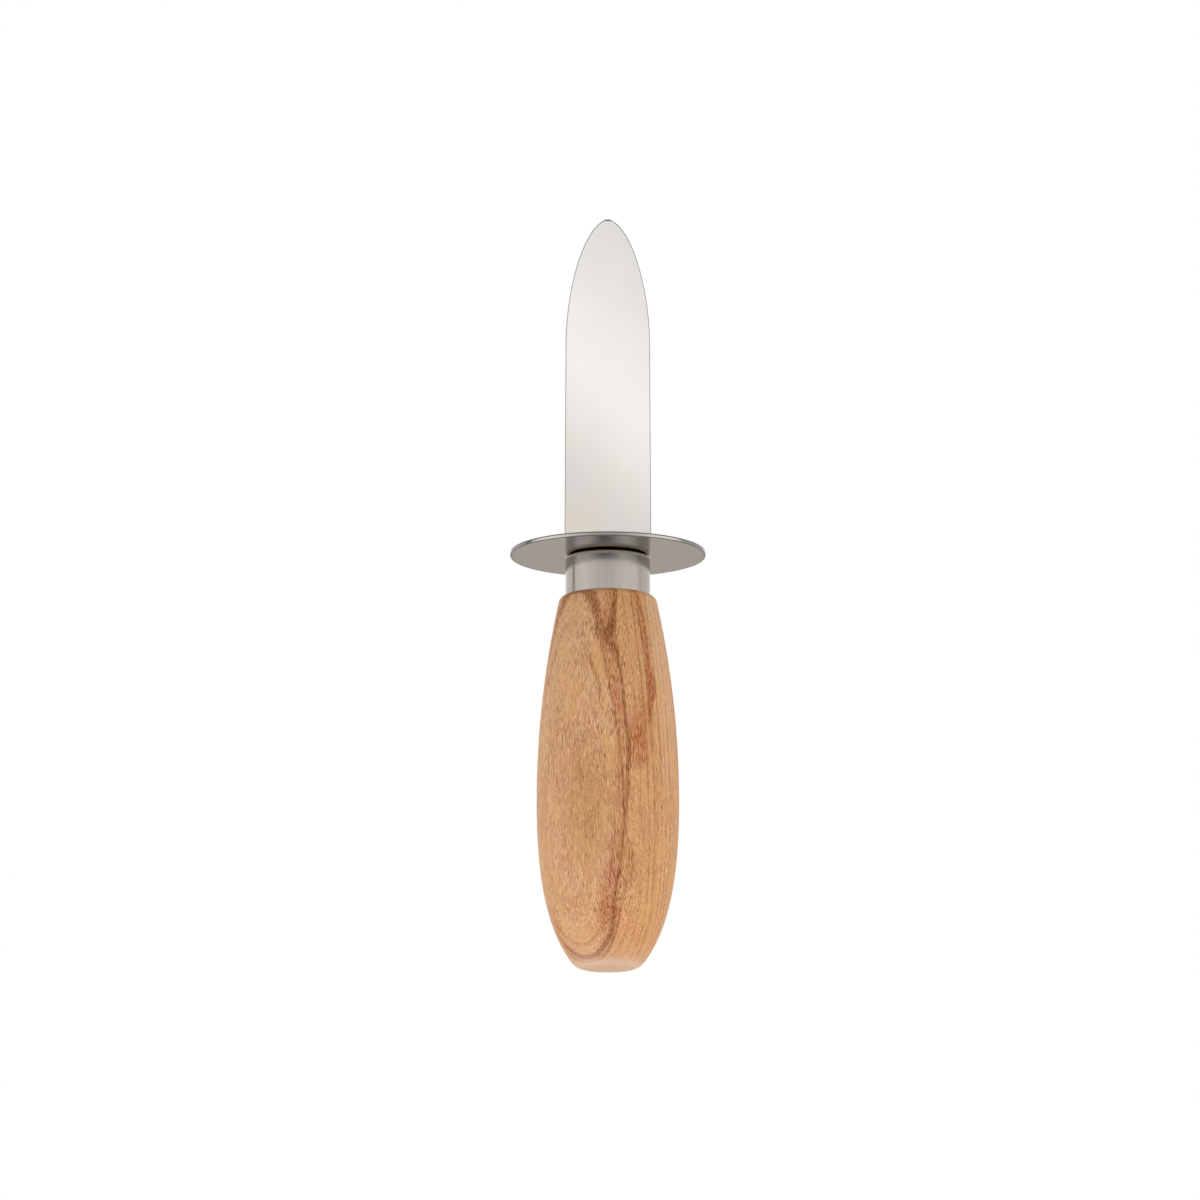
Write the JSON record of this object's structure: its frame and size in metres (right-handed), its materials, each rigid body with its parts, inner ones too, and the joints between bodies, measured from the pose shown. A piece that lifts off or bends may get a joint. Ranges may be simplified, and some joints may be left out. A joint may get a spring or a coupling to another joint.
{
  "type": "oyster knife",
  "caption": "Oyster knife: short spear-shaped steel blade, round hand guard, steel ferrule and barrel-shaped turned beech handle.",
  "frame": {"origin": "centre of the handle's flat butt, on the knife's axis", "axes": "+Z along the knife's axis, from the butt to the blade's tip; the blade's broad faces look along +Y and -Y, and +X runs across its width"},
  "size_m": [0.04, 0.04, 0.156],
  "materials": {
    "beech": "fine sanded, open pores, thinly oiled",
    "ferrule_steel": "satin, drawn",
    "guard_steel": "satin, tumbled",
    "blade_steel": "fine satin, lengthwise ground",
    "resin": "cast, hidden"
  },
  "bodies": {
    "root": {"handle": "beech", "ferrule": "ferrule_steel", "guard_disc": "guard_steel", "blade": "blade_steel", "tang_resin": "resin"}
  },
  "joints": []
}
